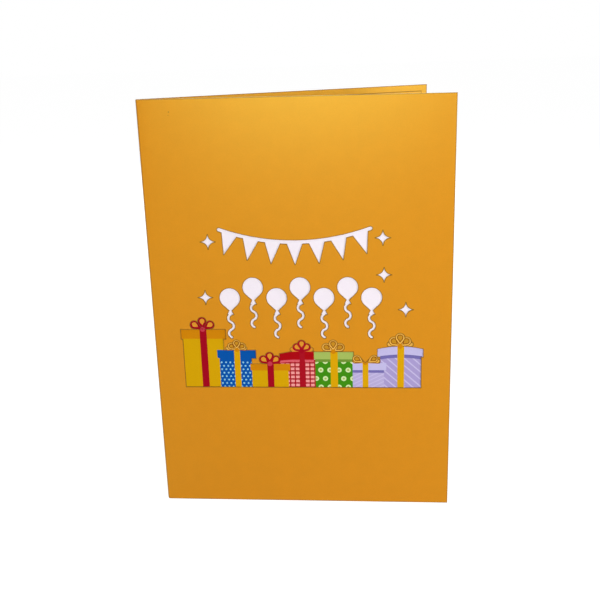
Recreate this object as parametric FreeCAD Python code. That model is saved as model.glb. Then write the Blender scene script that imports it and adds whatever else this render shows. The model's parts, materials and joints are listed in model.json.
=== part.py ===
"""A folded greeting card that stands half open, with a laser-cut front and a gift box that pops up inside it.

Row frame, millimetres: +Z up, +X from the fold towards the two free edges, front cover on the -Y side.
The origin is the bottom centre of the card's bounding box. The XZ plane halves the opening angle.

One sheet folds round the spine as the cover. Its front half has windows, and a white sheet glued behind
them carries the print. A smaller folded sheet lines both covers and hides the back of the white sheet.
The gift box inside is a lattice of flat card. Two long walls stand parallel to the spine, one glued to each
half of the liner. Creased cross plates bridge them, and one long plate locks into the creases, slot in slot.
The walls stay parallel while the covers turn, so each cross plate folds up along its crease as they close.
"""
import FreeCAD
import Part

import math
import os
from collections import namedtuple

# Card
CARD_WIDTH = 126.0
CARD_HEIGHT = 178.0
OPENING_ANGLE = 21.5
COVER_THICKNESS = 0.35
PRINT_THICKNESS = 0.12
LINER_THICKNESS = 0.25
FOLD_RADIUS = 0.3
LINER_MARGIN = 2.6
PRINT_MARGIN = 5.0

# Art of the front cover. X runs from the middle of the cover, Z from the line that the gifts stand on.
GIFT_BASE_HEIGHT = 55.3
ROW_MARGIN = 11.6

# Each sparkle gives its side, then how far it stands beyond that end of the garland and how high,
# as shares of the garland's span and height.
SPARKLES = [
    (-1, 0.079, 0.927), (-1, 0.118, 0.583), (1, 0.081, 0.943), (1, 0.089, 0.719), (1, 0.234, 0.503),
]
SPARKLE_REACH = 3.1
SPARKLE_WAIST = 0.95

GARLAND_SPAN = 62.0
GARLAND_CENTRE = -1.5
GARLAND_HEIGHT = 69.8
GARLAND_SAG = 5.5
GARLAND_CORD = 1.5
PENNANT_COUNT = 7
PENNANT_WIDTH = 6.8
PENNANT_LENGTH = 9.5

BALLOON_COUNT = 7
BALLOON_ROW_INSET = 2.6
BALLOON_CENTRE = 0.2
BALLOON_CLEARANCE = 0.8
BALLOON_STAGGER = 4.6
BALLOON_RADIUS = 4.3
BALLOON_POINT = 6.0
BALLOON_KNOT = 1.3
BALLOON_STRING = 1.0
STRING_WAVE = 1.1
STRING_PITCH = 3.4
STRING_WAVES = 3

# Each gift gives (left, right) of its body, lid, bow loops and bow tails, then heights, how far the left end
# of its lid drops below a level part that starts at `level_from`, and how many loops its bow has.
Gift = namedtuple("Gift", "body lid bow tails lid_bottom lid_top arch bow_top lid_drop level_from loops")
GIFTS = [
    Gift((-50.7, -33.3), (-51.4, -32.2), (-47.2, -36.8), None, 22.1, 26.4, 0.0, 31.9, 0.0, 0.0, 3),
    Gift((-35.4, -21.5), (-36.3, -19.6), (-31.5, -23.9), (-32.3, -23.4), 13.3, 17.0, 0.0, 21.6, 0.0, 0.0, 3),
    Gift((-21.6, -5.8), (-22.2, -5.1), (-18.2, -9.2), None, 7.6, 10.7, 0.0, 16.1, 0.0, 0.0, 3),
    Gift((-6.0, 5.9), (-9.4, 5.3), (-3.6, 3.9), (-4.7, 5.1), 12.6, 16.5, 0.0, 21.6, 1.1, -3.9, 3),
    Gift((5.8, 21.7), (5.3, 22.1), (8.9, 18.2), None, 12.8, 16.3, 0.0, 21.6, 0.0, 0.0, 3),
    Gift((21.7, 35.0), (21.7, 35.0), (21.9, 32.4), (21.9, 33.3), 7.9, 11.2, 0.0, 16.1, 0.0, 0.0, 2),
    Gift((33.4, 50.6), (32.3, 51.4), (37.2, 46.3), (36.4, 47.2), 14.1, 17.6, 1.2, 24.6, 0.0, 0.0, 3),
]
DRAWING_OVERLAP = 0.1
FLAT_TOLERANCE = 0.001
LOOP_RADIUS_SHARE = 0.32
SIDE_LOOP_HEIGHT_SHARE = 0.4
TAIL_RADIUS_SHARE = 0.17
TAIL_HEIGHT_SHARE = 0.19

# Gift box that pops up
SHEET_THICKNESS = 0.25
BOX_HALF_WIDTH = 36.0
BOX_LENGTH = 72.0
BASE_FLAP = 10.0
SIDE_FLAP = 8.0
FLAP_MARGIN = 1.5
PLATE_COUNT = 5
PLATE_LIFT = 0.5
RIM_DROP = 3.0
SLOT_CLEARANCE = 0.1
LID_HEIGHT = 14.0
LID_END_GAP = 3.0
RIBBON_WIDTH = 9.0
FORE_EDGE_MARGIN = 17.0
BOW_HEIGHT = 17.5
BOW_LOOP_RADIUS = 5.6
BOW_RING_WIDTH = 2.4
BOW_REACH = 11.0
BOW_RISE = 10.6
BOW_STEM = 7.0
BOW_HOLE_POINT_SHARE = 0.8

# Worked out from the sizes above
HALF_ANGLE = math.radians(OPENING_ANGLE / 2)
COVER_INNER_RADIUS = FOLD_RADIUS + LINER_THICKNESS + PRINT_THICKNESS / 2
COVER_OUTER_RADIUS = COVER_INNER_RADIUS + COVER_THICKNESS
PANEL_REACH = CARD_WIDTH - COVER_OUTER_RADIUS
FREE_EDGE_X = PANEL_REACH * math.cos(HALF_ANGLE) - COVER_INNER_RADIUS * math.sin(HALF_ANGLE)
CARD_DEPTH = COVER_OUTER_RADIUS + FREE_EDGE_X
FOLD_X = COVER_OUTER_RADIUS - CARD_DEPTH / 2
INNER_SHIFT = PRINT_THICKNESS / (2 * math.cos(HALF_ANGLE))
ROW_SCALE = (CARD_WIDTH - 2 * ROW_MARGIN) / (GIFTS[-1].lid[1] - GIFTS[0].lid[0])
BALLOON_PITCH = (GARLAND_SPAN - BALLOON_ROW_INSET) / (BALLOON_COUNT - 1)
MIDDLE_BOW_TOP = ROW_SCALE * max(spec.bow_top for spec in GIFTS[1:-1])
STRING_LENGTH = STRING_PITCH * STRING_WAVES
BALLOON_HANG = BALLOON_POINT + BALLOON_KNOT + STRING_LENGTH + BALLOON_STRING / 2
BALLOON_HEIGHT = MIDDLE_BOW_TOP + BALLOON_CLEARANCE + BALLOON_HANG

BOX_HEIGHT = CARD_WIDTH - FORE_EDGE_MARGIN - BOW_HEIGHT - BOX_HALF_WIDTH + RIM_DROP
FLAP_OFFSET = FOLD_RADIUS - SHEET_THICKNESS
HINGE_X = BOX_HALF_WIDTH * math.cos(HALF_ANGLE) - FLAP_OFFSET * math.sin(HALF_ANGLE)
WALL_INNER_Y = BOX_HALF_WIDTH * math.sin(HALF_ANGLE) + FLAP_OFFSET * math.cos(HALF_ANGLE)
WALL_OUTER_Y = WALL_INNER_Y + SHEET_THICKNESS
BOX_TOP = HINGE_X + BOX_HEIGHT
RIBBON_OUTER_Y = WALL_OUTER_Y + SHEET_THICKNESS + SLOT_CLEARANCE
RIBBON_FOOT = (RIBBON_OUTER_Y - FOLD_RADIUS / math.cos(HALF_ANGLE)) / math.tan(HALF_ANGLE)
BOX_BOTTOM_Z = (CARD_HEIGHT - BOX_LENGTH) / 2
WALL_BOTTOM_Z = BOX_BOTTOM_Z - SIDE_FLAP - FLAP_MARGIN
WALL_LENGTH = BOX_LENGTH + SIDE_FLAP + FLAP_MARGIN

PLATE_HALF = BOX_HALF_WIDTH - 2 * SHEET_THICKNESS
PLATE_END_Y = WALL_INNER_Y - SHEET_THICKNESS
PLATE_ANGLE = math.asin(PLATE_END_Y / PLATE_HALF)
CREASE_RISE = PLATE_HALF * math.cos(PLATE_ANGLE)
PLATE_BOTTOM = HINGE_X + PLATE_LIFT
PLATE_TOP = BOX_TOP - RIM_DROP
SLOT_END = (PLATE_BOTTOM + PLATE_TOP) / 2
PLATE_PITCH = BOX_LENGTH / (PLATE_COUNT - 1)
BOW_PLATE_INDEX = PLATE_COUNT // 2

X_AXIS = FreeCAD.Vector(1, 0, 0)
Y_AXIS = FreeCAD.Vector(0, 1, 0)
Z_AXIS = FreeCAD.Vector(0, 0, 1)


def vector(x, y, z):
    """Return a point or direction."""
    return FreeCAD.Vector(x, y, z)


def flat(x, z):
    """Return a point of a drawing in the XZ plane."""
    return FreeCAD.Vector(x, 0, z)


def box(low, high):
    """Return the box between two opposite corners."""
    return Part.makeBox(*(high - low), low)


# Folded sheets


def side_edges(points, axis, distance):
    """Return the edges that run beside a path at a distance to its right, round each corner as an arc."""
    ends = []
    edges = []
    for start, end in zip(points, points[1:]):
        right = (end - start).normalize().cross(axis)
        ends.append((start + right * distance, end + right * distance, right))
    for index, (start, end, right) in enumerate(ends):
        edges.append(Part.LineSegment(start, end).toShape())
        if index + 1 < len(ends) and distance > 0:
            following = ends[index + 1]
            corner = points[index + 1]
            middle = corner + (right + following[2]).normalize() * distance
            edges.append(Part.Arc(end, middle, following[0]).toShape())
    return edges, ends[0][0], ends[-1][1]


def folded_sheet(points, axis, inner, thickness, length):
    """Return a sheet whose section follows a path that only turns left, and whose folds run along an axis.

    The sheet's two faces lie at `inner` and `inner + thickness` to the right of the path.
    """
    near_edges, near_start, near_end = side_edges(points, axis, inner)
    far_edges, far_start, far_end = side_edges(points, axis, inner + thickness)
    caps = [
        Part.LineSegment(near_start, far_start).toShape(),
        Part.LineSegment(near_end, far_end).toShape(),
    ]
    outline = Part.Wire(Part.__sortEdges__(near_edges + far_edges + caps))
    return Part.Face(outline).extrude(axis * length)


def nested_path(points, axis, distance):
    """Return a path that runs at a distance to the left of another, with its corners mitred."""
    directions = [(end - start).normalize() for start, end in zip(points, points[1:])]
    moved = [points[0] - directions[0].cross(axis) * distance]
    for corner, before, after in zip(points[1:], directions, directions[1:]):
        bisector = (before.cross(axis) + after.cross(axis)).normalize()
        moved.append(corner - bisector * (distance / bisector.dot(before.cross(axis))))
    moved.append(points[-1] - directions[-1].cross(axis) * distance)
    return moved


def panel_direction(side):
    """Return the direction from the fold to the free edge: side is -1 for the front and 1 for the back."""
    return vector(math.cos(HALF_ANGLE), side * math.sin(HALF_ANGLE), 0)


def bifold(reach, inner, thickness, bottom, top):
    """Return a sheet folded once round the spine, from one free edge to the other."""
    start = vector(0, 0, bottom)
    points = [start + panel_direction(1) * reach, start, start + panel_direction(-1) * reach]
    return folded_sheet(points, Z_AXIS, inner, thickness, top - bottom)


# Drawings in the XZ plane


def polygon(points):
    """Return the face inside straight lines between points."""
    return Part.Face(Part.makePolygon(points + points[:1]))


def rectangle(left, right, bottom, top):
    """Return an upright rectangle."""
    return polygon([flat(left, bottom), flat(right, bottom), flat(right, top), flat(left, top)])


def drop(point, centre, radius):
    """Return the face of a circle drawn out to a point, with tangent sides."""
    distance = (centre - point).Length
    towards = (centre - point).normalize()
    spread = math.degrees(math.asin(radius / distance))
    reach = math.sqrt(distance ** 2 - radius ** 2)
    sides = []
    for turn in (spread, -spread):
        direction = FreeCAD.Rotation(Y_AXIS, turn).multVec(towards)
        sides.append(point + direction * reach)
    edges = [
        Part.LineSegment(point, sides[0]).toShape(),
        Part.Arc(sides[0], centre + towards * radius, sides[1]).toShape(),
        Part.LineSegment(sides[1], point).toShape(),
    ]
    return Part.Face(Part.Wire(edges))


def joined(faces):
    """Return the faces that overlapping faces of the XZ plane cover together, with no islands inside."""
    solids = [face.extrude(Y_AXIS) for face in faces]
    merged = solids[0].multiFuse(solids[1:]).removeSplitter()
    drawn = [face for face in merged.Faces if face.BoundBox.YMax < FLAT_TOLERANCE]
    return [Part.Face(face.OuterWire) for face in drawn]


def ribbon_path(points, width):
    """Return the face of a line drawn with a round pen along smooth arcs through points."""
    edges = []
    for start, middle, end in zip(points[::2], points[1::2], points[2::2]):
        edges.append(Part.Arc(start, middle, end).toShape())
    return Part.Wire(edges).makeOffset2D(width / 2, join=0, fill=True, openResult=False)


def sparkle(centre):
    """Return a four-pointed star with hollow sides."""
    tips = [
        flat(0, SPARKLE_REACH), flat(SPARKLE_REACH, 0), flat(0, -SPARKLE_REACH), flat(-SPARKLE_REACH, 0)]
    edges = []
    for start, end in zip(tips, tips[1:] + tips[:1]):
        hollow = (start + end) * (SPARKLE_WAIST / SPARKLE_REACH)
        edges.append(Part.Arc(start, hollow, end).toShape())
    face = Part.Face(Part.Wire(edges))
    face.translate(centre)
    return face


def garland():
    """Return a sagging cord hung with pennants."""
    half = GARLAND_SPAN / 2
    left, right = GARLAND_CENTRE - half, GARLAND_CENTRE + half
    low = GARLAND_HEIGHT - GARLAND_SAG
    cord = ribbon_path(
        [flat(left, GARLAND_HEIGHT), flat(GARLAND_CENTRE, low), flat(right, GARLAND_HEIGHT)], GARLAND_CORD)
    radius = (half ** 2 + GARLAND_SAG ** 2) / (2 * GARLAND_SAG)
    swing = math.asin(half / radius)
    pieces = [cord]
    for index in range(PENNANT_COUNT):
        angle = swing * (2 * (index + 0.5) / PENNANT_COUNT - 1)
        pennant = polygon([
            flat(-PENNANT_WIDTH / 2, 0), flat(PENNANT_WIDTH / 2, 0), flat(0, -PENNANT_LENGTH)])
        pennant.rotate(FreeCAD.Vector(0, 0, 0), Y_AXIS, -math.degrees(angle))
        pennant.translate(flat(
            GARLAND_CENTRE + radius * math.sin(angle), low + radius * (1 - math.cos(angle))))
        pieces.append(pennant)
    return joined(pieces)


def balloon(centre):
    """Return a balloon with its knot and a waving string."""
    neck = centre - flat(0, BALLOON_POINT)
    foot = neck - flat(0, BALLOON_KNOT)
    knot = polygon([
        neck + flat(0, BALLOON_KNOT), foot - flat(BALLOON_KNOT, 0), foot + flat(BALLOON_KNOT, 0)])
    points = [foot]
    for wave in range(STRING_WAVES):
        side = STRING_WAVE if wave % 2 else -STRING_WAVE
        points.append(foot + flat(side, -STRING_PITCH * (wave + 0.5)))
        points.append(foot - flat(0, STRING_PITCH * (wave + 1)))
    return joined([drop(neck, centre, BALLOON_RADIUS), knot, ribbon_path(points, BALLOON_STRING)])


def gift(spec):
    """Return the faces of a wrapped box, its lid, and a bow with its loops and tails on top."""
    faces = [rectangle(*spec.body, 0, spec.lid_bottom + DRAWING_OVERLAP)]
    left, right = spec.lid
    if spec.lid_drop:
        faces.append(polygon([
            flat(left, spec.lid_bottom), flat(right, spec.lid_bottom), flat(right, spec.lid_top),
            flat(spec.level_from, spec.lid_top), flat(left, spec.lid_top - spec.lid_drop)]))
    else:
        faces.append(rectangle(left, right, spec.lid_bottom, spec.lid_top))
    if spec.arch:
        crown = Part.Arc(
            flat(left, spec.lid_top), flat((left + right) / 2, spec.lid_top + spec.arch),
            flat(right, spec.lid_top)).toShape()
        base = Part.LineSegment(flat(right, spec.lid_top), flat(left, spec.lid_top)).toShape()
        faces.append(Part.Face(Part.Wire([crown, base])))
    left, right = spec.bow
    knot = flat((left + right) / 2, spec.lid_top + spec.arch - DRAWING_OVERLAP)
    rise = spec.bow_top - knot.z
    radius = rise * LOOP_RADIUS_SHARE
    side_reach = (right - left) / 2 - radius
    for side in (-1, 1):
        faces.append(drop(knot, knot + flat(side * side_reach, rise * SIDE_LOOP_HEIGHT_SHARE), radius))
    if spec.loops == 3:
        faces.append(drop(knot, knot + flat(0, rise - radius), radius))
    if spec.tails:
        tail_radius = rise * TAIL_RADIUS_SHARE
        for end, side in zip(spec.tails, (-1, 1)):
            centre = flat(end - side * tail_radius, knot.z + rise * TAIL_HEIGHT_SHARE)
            faces.append(drop(knot, centre, tail_radius))
    return faces


def art_faces():
    """Return all the windows of the front cover. The row of gifts fills the width between its margins."""
    row = []
    for spec in GIFTS:
        row.extend(gift(spec))
    faces = [face.scaled(ROW_SCALE) for face in joined(row)]
    for side, beyond, height in SPARKLES:
        reach = GARLAND_SPAN * (0.5 + beyond)
        faces.append(sparkle(flat(GARLAND_CENTRE + side * reach, GARLAND_HEIGHT * height)))
    faces.extend(garland())
    first = BALLOON_CENTRE - BALLOON_PITCH * (BALLOON_COUNT - 1) / 2
    for index in range(BALLOON_COUNT):
        stagger = BALLOON_STAGGER * (index % 2)
        faces.extend(balloon(flat(first + BALLOON_PITCH * index, BALLOON_HEIGHT + stagger)))
    return faces


# Card


def on_front_panel(shape):
    """Move a shape drawn on the XZ plane to the front cover: X from the spine edge, -Y outwards."""
    placed = shape.copy()
    placed.translate(vector(-COVER_OUTER_RADIUS, 0, 0))
    placed.rotate(FreeCAD.Vector(0, 0, 0), Z_AXIS, -math.degrees(HALF_ANGLE))
    return placed


def windows():
    """Return the solids that are cut out of the front cover."""
    depth = COVER_OUTER_RADIUS + COVER_THICKNESS
    cutters = []
    for face in art_faces():
        cutter = face.copy()
        cutter.translate(flat(CARD_WIDTH / 2, GIFT_BASE_HEIGHT))
        cutters.append(on_front_panel(cutter.extrude(-Y_AXIS * depth)))
    return cutters


def cover_sheet():
    """Return the outer sheet, folded round the spine, with the windows in its front half."""
    sheet = bifold(PANEL_REACH, COVER_INNER_RADIUS, COVER_THICKNESS, 0, CARD_HEIGHT)
    return sheet.cut(windows())


def print_sheet():
    """Return the flat white sheet behind the windows."""
    low = vector(PRINT_MARGIN, -COVER_INNER_RADIUS, PRINT_MARGIN)
    high = vector(CARD_WIDTH - PRINT_MARGIN, PRINT_THICKNESS - COVER_INNER_RADIUS, CARD_HEIGHT - PRINT_MARGIN)
    return on_front_panel(box(low, high))


def liner_sheet():
    """Return the folded sheet that lines both covers and carries the gift box."""
    reach = PANEL_REACH - LINER_MARGIN
    sheet = bifold(reach, FOLD_RADIUS, LINER_THICKNESS, LINER_MARGIN, CARD_HEIGHT - LINER_MARGIN)
    sheet.translate(Y_AXIS * INNER_SHIFT)
    return sheet


# Gift box


def mirrored(shape):
    """Return the same piece for the back cover."""
    return shape.mirror(FreeCAD.Vector(0, 0, 0), Y_AXIS)


def side_wall():
    """Return the wall glued to the front half: a flap on the liner, and a plate parallel to the XZ plane."""
    hinge = vector(HINGE_X, -WALL_INNER_Y, WALL_BOTTOM_Z)
    points = [hinge - panel_direction(-1) * BASE_FLAP, hinge, hinge + X_AXIS * BOX_HEIGHT]
    return folded_sheet(points, Z_AXIS, 0, SHEET_THICKNESS, WALL_LENGTH)


def side_lid():
    """Return the lid band on the outer face of the front wall."""
    low = vector(BOX_TOP - LID_HEIGHT, -WALL_OUTER_Y - SHEET_THICKNESS, WALL_BOTTOM_Z)
    high = vector(BOX_TOP, -WALL_OUTER_Y, WALL_BOTTOM_Z + WALL_LENGTH)
    return box(low, high)


def side_ribbon():
    """Return the ribbon that climbs the front wall and steps over the lid band."""
    middle = WALL_BOTTOM_Z + WALL_LENGTH / 2
    low_z, high_z = middle - RIBBON_WIDTH / 2, middle + RIBBON_WIDTH / 2
    lid_edge = BOX_TOP - LID_HEIGHT
    face_y = -WALL_OUTER_Y
    lower = box(
        vector(RIBBON_FOOT, face_y - SHEET_THICKNESS, low_z), vector(lid_edge, face_y, high_z))
    upper = box(
        vector(lid_edge - SHEET_THICKNESS, face_y - 2 * SHEET_THICKNESS, low_z),
        vector(BOX_TOP, face_y - SHEET_THICKNESS, high_z))
    return lower.fuse(upper).removeSplitter()


def plate_path(hinge_z, bottom, flaps=True):
    """Return the path of a cross plate from the back wall over its crease to the front wall."""
    path = [
        vector(bottom, PLATE_END_Y, hinge_z),
        vector(bottom, 0, hinge_z + CREASE_RISE),
        vector(bottom, -PLATE_END_Y, hinge_z),
    ]
    if flaps:
        path.insert(0, path[0] - Z_AXIS * SIDE_FLAP)
        path.append(path[-1] - Z_AXIS * SIDE_FLAP)
    return path


def end_face_path(hinge_z, layer):
    """Return the path of a sheet laid on an end plate, so many layers out on the side away from the box."""
    path = plate_path(hinge_z, 0, False)
    if hinge_z > BOX_BOTTOM_Z:
        return path
    return nested_path(path, X_AXIS, layer * SHEET_THICKNESS)


def end_layer(hinge_z, layer, reach, bottom, top):
    """Return a creased strip laid on an end plate, reaching so far from the crease along both halves."""
    outside = hinge_z > BOX_BOTTOM_Z
    path = end_face_path(hinge_z, layer)
    crease = path[1]
    ends = [crease + (end - crease).normalize() * reach for end in (path[0], path[2])]
    inner = layer * SHEET_THICKNESS if outside else 0
    strip = folded_sheet([ends[0], crease, ends[1]], X_AXIS, inner, SHEET_THICKNESS, top - bottom)
    strip.translate(X_AXIS * bottom)
    return strip


def end_lid(hinge_z):
    """Return the creased lid band on an end plate."""
    return end_layer(hinge_z, 1, PLATE_HALF - LID_END_GAP, BOX_TOP - LID_HEIGHT, BOX_TOP)


def end_ribbon(hinge_z):
    """Return the creased ribbon that climbs an end plate and steps over the lid band."""
    lid_edge = BOX_TOP - LID_HEIGHT
    lower = end_layer(hinge_z, 1, RIBBON_WIDTH / 2, PLATE_BOTTOM, lid_edge)
    upper = end_layer(hinge_z, 2, RIBBON_WIDTH / 2, lid_edge - SHEET_THICKNESS, BOX_TOP)
    return lower.fuse(upper).removeSplitter()


def bow_loops(crease_z, sides):
    """Return the outline of a bow over the rim, with a loop on each side named, and the rings' holes."""
    knot = flat(PLATE_TOP - RIM_DROP, crease_z)
    solid = []
    holes = []
    for side in sides:
        centre = flat(PLATE_TOP + BOW_RISE, crease_z + side * BOW_REACH)
        inner_radius = BOW_LOOP_RADIUS - BOW_RING_WIDTH
        inward = (knot - centre).normalize()
        solid.append(drop(knot, centre, BOW_LOOP_RADIUS))
        holes.append(drop(centre + inward * (BOW_REACH * BOW_HOLE_POINT_SHARE), centre, inner_radius))
    return solid, holes


def bow_solid(faces, width):
    """Return faces of the XZ plane given a width along Y, half to each side."""
    solids = []
    for face in faces:
        solid = face.extrude(Y_AXIS * width)
        solid.translate(Y_AXIS * (-width / 2))
        solids.append(solid)
    return solids


def cross_plate(index):
    """Return one cross plate: flaps on both walls, two halves, a crease, and a slot for the long plate."""
    hinge_z = BOX_BOTTOM_Z + PLATE_PITCH * index
    is_end = index in (0, PLATE_COUNT - 1)
    top = BOX_TOP if is_end else PLATE_TOP
    plate = folded_sheet(plate_path(hinge_z, PLATE_BOTTOM), X_AXIS, 0, SHEET_THICKNESS, top - PLATE_BOTTOM)
    if is_end:
        return plate
    crease_z = hinge_z + CREASE_RISE
    if index == BOW_PLATE_INDEX:
        tall = folded_sheet(
            plate_path(hinge_z, PLATE_TOP - RIM_DROP, False), X_AXIS, 0, SHEET_THICKNESS,
            RIM_DROP + BOW_HEIGHT)
        loops, holes = bow_loops(crease_z, (-1,))
        width = 2 * WALL_OUTER_Y
        stem = rectangle(
            PLATE_TOP - RIM_DROP, PLATE_TOP + BOW_RISE, crease_z - BOW_STEM / 2, crease_z + BOW_STEM)
        outline = bow_solid(loops + [stem], width)
        bow = tall.common(outline[0].fuse(outline[1:])).cut(bow_solid(holes, width))
        plate = plate.fuse(bow).removeSplitter()
    half_slot = SHEET_THICKNESS / 2 + SLOT_CLEARANCE
    slot = box(
        vector(SLOT_END, -half_slot, crease_z - CREASE_RISE),
        vector(PLATE_TOP + BOW_HEIGHT + RIM_DROP, half_slot, crease_z + CREASE_RISE))
    return plate.cut(slot)


def long_plate():
    """Return the plate in the XZ plane that crosses all the creases and ends in the bow."""
    touch = SHEET_THICKNESS / (2 * math.tan(PLATE_ANGLE))
    first = BOX_BOTTOM_Z + CREASE_RISE
    low = first + SHEET_THICKNESS + SLOT_CLEARANCE
    high = first + BOX_LENGTH - touch - SLOT_CLEARANCE
    middle = first + PLATE_PITCH * BOW_PLATE_INDEX
    loops, holes = bow_loops(middle, (-1, 1))
    stem = rectangle(
        PLATE_TOP - RIM_DROP, PLATE_TOP + BOW_RISE, middle - BOW_STEM / 2, middle + BOW_STEM / 2)
    body = rectangle(PLATE_BOTTOM, PLATE_TOP, low, high)
    outline = bow_solid([body, stem] + loops, SHEET_THICKNESS)
    plate = outline[0].multiFuse(outline[1:]).cut(bow_solid(holes, SHEET_THICKNESS)).removeSplitter()
    for index in range(1, PLATE_COUNT - 1):
        crease_z = first + PLATE_PITCH * index
        slot = box(
            vector(PLATE_BOTTOM - PLATE_LIFT, -SHEET_THICKNESS, crease_z - touch - SLOT_CLEARANCE),
            vector(SLOT_END, SHEET_THICKNESS, crease_z + SHEET_THICKNESS + SLOT_CLEARANCE))
        plate = plate.cut(slot)
    return plate


def main():
    """Build every piece and write one file for each."""
    card = {"cover_sheet": cover_sheet(), "print_sheet": print_sheet(), "liner_sheet": liner_sheet()}
    gift_box = {
        "front_wall": side_wall(),
        "back_wall": mirrored(side_wall()),
        "front_lid": side_lid(),
        "back_lid": mirrored(side_lid()),
        "front_ribbon": side_ribbon(),
        "back_ribbon": mirrored(side_ribbon()),
        "lower_lid": end_lid(BOX_BOTTOM_Z),
        "upper_lid": end_lid(BOX_BOTTOM_Z + BOX_LENGTH),
        "lower_ribbon": end_ribbon(BOX_BOTTOM_Z),
        "upper_ribbon": end_ribbon(BOX_BOTTOM_Z + BOX_LENGTH),
        "long_plate": long_plate(),
    }
    for index in range(PLATE_COUNT):
        gift_box["cross_plate_%d" % (index + 1)] = cross_plate(index)
    for shape in gift_box.values():
        shape.translate(Y_AXIS * INNER_SHIFT)
    os.makedirs("parts", exist_ok=True)
    for name, shape in {**card, **gift_box}.items():
        shape.translate(X_AXIS * FOLD_X)
        shape.exportStep("parts/%s.step" % name)
        print(name, shape.ShapeType, len(shape.Solids), shape.isValid(), round(shape.Volume, 2))


main()
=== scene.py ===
"""Dresses a half-open pop-up greeting card: a folded cover with laser-cut windows, the printed sheet
behind them, the liner, and the gift box of slotted card that stands inside.

All lengths are metres. The cover, the liner and the print are laid out flat, as they are cut, and then
folded into place round the spine.
"""
import json
import logging
import math
from dataclasses import dataclass, replace
from enum import Enum

import bpy
import numpy as np
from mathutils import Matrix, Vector
from mathutils.geometry import delaunay_2d_cdt


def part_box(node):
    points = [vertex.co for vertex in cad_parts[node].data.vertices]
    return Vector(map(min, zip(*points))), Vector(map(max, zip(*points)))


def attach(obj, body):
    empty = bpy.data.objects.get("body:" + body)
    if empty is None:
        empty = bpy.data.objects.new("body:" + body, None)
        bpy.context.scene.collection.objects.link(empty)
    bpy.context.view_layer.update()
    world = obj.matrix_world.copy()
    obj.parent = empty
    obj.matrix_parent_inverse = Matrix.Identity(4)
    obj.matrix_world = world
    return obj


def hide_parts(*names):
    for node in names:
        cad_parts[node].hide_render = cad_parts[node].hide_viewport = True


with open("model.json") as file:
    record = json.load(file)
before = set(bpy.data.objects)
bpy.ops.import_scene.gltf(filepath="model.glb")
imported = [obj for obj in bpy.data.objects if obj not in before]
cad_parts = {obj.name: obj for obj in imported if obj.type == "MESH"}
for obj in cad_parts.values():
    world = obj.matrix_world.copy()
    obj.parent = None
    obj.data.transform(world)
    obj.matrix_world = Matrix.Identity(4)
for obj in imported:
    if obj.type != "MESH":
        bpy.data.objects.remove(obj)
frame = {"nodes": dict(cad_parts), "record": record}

# Types: an sRGB colour, a place, two ends, the sides of a box, two arrays that belong together, faces.
Colour = tuple[int, int, int]
Place = tuple[float, float, float]
Span = tuple[float, float]
Box = tuple[float, float, float, float]
Pair = tuple[np.ndarray, np.ndarray]
Faces = list[list[int]]

LOG = logging.getLogger("pop_up_card")
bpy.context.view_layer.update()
BODY = "root"
MM = 0.001
SIDES = (-1, 1)  # left and right

WHITE = (1.0, 1.0, 1.0, 1.0)
SCORCH_AND_FOLD_SHADE = (100, 46, 14)  # burnt card; also the colour of the painted shade along the fold
FIBRE = (128, 58, 6)  # a dark fibre in the card
FIBRE_CORE = 0.4  # share of a fibre's radius within which it is evenly dark
FIBRE_DEPTH = 0.75  # how dark it is there

NOISE_SPAN = (0.3, 0.7)  # most of a noise lies between these values
TOOTH_NOISE = {"Scale": 1900.0, "Detail": 6.0, "Roughness": 0.65}  # the relief of the fibres
TOOTH_STRENGTH = 0.8

SHARP = math.radians(30)  # an edge that turns by more stays sharp
POINT_DIGITS = 7  # digits of a metre that tell two points apart
TINY = 1e-18  # the smallest divisor, in square metres
SLIVER = 1e-16  # twice the area of the smallest triangle kept, in square metres
WELD = 1e-5  # points nearer than this many millimetres are one
BLOCK = 1000  # points measured at a time

ROW_SPAN = (-1.0, 30.0)  # bottom and top of the printed row, in millimetres from its base line
BLEED = 0.3  # millimetres that a loop's ink runs on under the card
EVERYWHERE = (-1000.0, 1000.0, -1000.0, 1000.0)  # a box that holds every field of ink


def linear(srgb: Colour) -> tuple[float, float, float, float]:
    """Turn an sRGB colour of 0 to 255 into the linear colour that a shader takes.

    Up to 0.04045 a share is divided by 12.92. Above, it is (share + 0.055) / 1.055 to the power of 2.4.

    Args:
        srgb: red, green and blue as they look on a screen.

    Returns:
        Red, green, blue and an alpha of 1.
    """
    share = np.array(srgb, float) / 255.0
    value = np.where(share <= 0.04045, share / 12.92, ((share + 0.055) / 1.055) ** 2.4)
    return (*value.tolist(), 1.0)


class Ink(Enum):
    """The colours printed on the white sheet, as sRGB."""

    PAPER = (255, 246, 255)
    SUN = (222, 170, 3)
    OCHRE = (217, 138, 6)
    CARD_ORANGE = (232, 158, 48)
    GOLD = (228, 171, 4)
    HONEY = (246, 190, 84)
    AMBER = (206, 146, 36)
    LINE = (140, 74, 6)
    CRIMSON = (168, 5, 31)
    SCARLET = (178, 5, 18)
    ROSE = (206, 60, 78)
    WINE = (176, 15, 34)
    PINK = (252, 164, 160)
    BLUE = (5, 86, 174)
    SKY = (150, 214, 242)
    GREEN = (66, 146, 18)
    LEAF = (172, 196, 98)
    LIME = (220, 241, 176)
    LILAC = (203, 196, 239)
    VIOLET = (120, 112, 180)
    MAUVE = (176, 162, 216)
    MIST = (206, 196, 236)
    ORCHID = (192, 180, 226)
    APRICOT = (232, 128, 60)
    MOSS = (116, 152, 56)
    BLUSH = (226, 96, 108)


# The band under a lid, by the ink of the wrapping.
SHADES = {Ink.WINE: Ink.BLUSH, Ink.GREEN: Ink.MOSS, Ink.MAUVE: Ink.VIOLET, Ink.ORCHID: Ink.VIOLET}


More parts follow.
